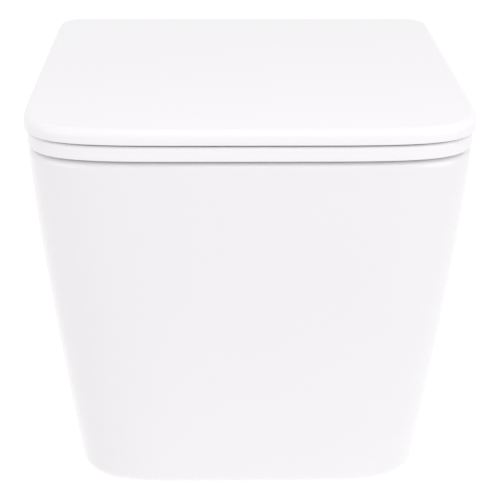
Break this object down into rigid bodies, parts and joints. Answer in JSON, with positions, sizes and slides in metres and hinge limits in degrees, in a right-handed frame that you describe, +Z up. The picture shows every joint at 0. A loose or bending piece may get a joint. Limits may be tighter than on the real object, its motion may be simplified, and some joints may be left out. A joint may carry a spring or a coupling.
{
  "type": "wall hung toilet",
  "caption": "Compact squarish wall hung toilet pan with a smooth closed skirt that tapers to its foot, with a slim soft close ring seat and a flat lid.",
  "frame": {"origin": "midway between the two wall studs, in the plane of the finished wall", "axes": "+X to the right of a person facing the wall, +Y into the wall, +Z up"},
  "size_m": [0.3704, 0.48, 0.342],
  "materials": {
    "glazed_ceramic": "white vitreous china, high gloss glaze",
    "seat_plastic": "white moulded thermoset, gloss",
    "white_plastic": "white, satin gloss",
    "button_plastic": "light grey, satin",
    "buffer_rubber": "off-white elastomer, matt",
    "black_rubber": "black, matt",
    "nylon": "natural nylon, matt",
    "chrome": "polished",
    "brass": "turned",
    "damper_plastic": "dark grey, matt",
    "steel": "stainless, turned"
  },
  "bodies": {
    "pan": {"pan_skirt": "glazed_ceramic", "pan_deck": "glazed_ceramic", "pan_bowl": "glazed_ceramic", "pan_trap": "glazed_ceramic", "pan_horn": "glazed_ceramic", "pan_inlet": "glazed_ceramic", "fixing_block_left": "nylon", "fixing_block_right": "nylon", "fixing_washer_left": "steel", "fixing_washer_right": "steel", "fixing_nut_left": "steel", "fixing_nut_right": "steel", "clamp_screw_left": "steel", "clamp_screw_right": "steel", "side_bush_left": "nylon", "side_bush_right": "nylon", "side_cap_left": "white_plastic", "side_cap_right": "white_plastic", "deck_gasket_left": "black_rubber", "deck_gasket_right": "black_rubber", "base_disc_left": "chrome", "base_disc_right": "chrome", "hinge_post_left": "steel", "hinge_post_right": "steel", "expansion_bush_left": "black_rubber", "expansion_bush_right": "black_rubber", "expansion_nut_left": "brass", "expansion_nut_right": "brass", "hinge_block_left": "white_plastic", "hinge_block_right": "white_plastic", "release_spring_left": "steel", "release_spring_right": "steel", "ring_damper": "damper_plastic", "ring_pin": "steel", "lid_damper": "damper_plastic", "lid_pin": "steel"},
    "ring": {"seat_ring": "seat_plastic", "ring_damper_shaft": "steel", "ring_buffer_front_left": "buffer_rubber", "ring_buffer_front_right": "buffer_rubber", "ring_buffer_rear_left": "buffer_rubber", "ring_buffer_rear_right": "buffer_rubber"},
    "lid": {"lid": "seat_plastic", "lid_damper_shaft": "steel", "lid_buffer_front_left": "buffer_rubber", "lid_buffer_front_right": "buffer_rubber", "lid_buffer_rear_left": "buffer_rubber", "lid_buffer_rear_right": "buffer_rubber"},
    "button_left": {"release_button_left": "button_plastic"},
    "button_right": {"release_button_right": "button_plastic"}
  },
  "joints": [
    {"name": "ring_hinge", "type": "hinge", "parent": "pan", "child": "ring", "pos_m": [0, -0.05, 0.1095], "axis": [-1, 0, 0], "range_deg": [0, 92]},
    {"name": "lid_hinge", "type": "hinge", "parent": "ring", "child": "lid", "pos_m": [0, -0.05, 0.1095], "axis": [-1, 0, 0], "range_deg": [0, 94]},
    {"name": "button_left_press", "type": "slide", "parent": "pan", "child": "button_left", "axis": [0, 1, 0], "range_m": [0, 0.0022], "stiffness_N_per_m": 1200, "springref_m": -0.001, "deforming": ["release_spring_left"]},
    {"name": "button_right_press", "type": "slide", "parent": "pan", "child": "button_right", "axis": [0, 1, 0], "range_m": [0, 0.0022], "stiffness_N_per_m": 1200, "springref_m": -0.001, "deforming": ["release_spring_right"]}
  ]
}
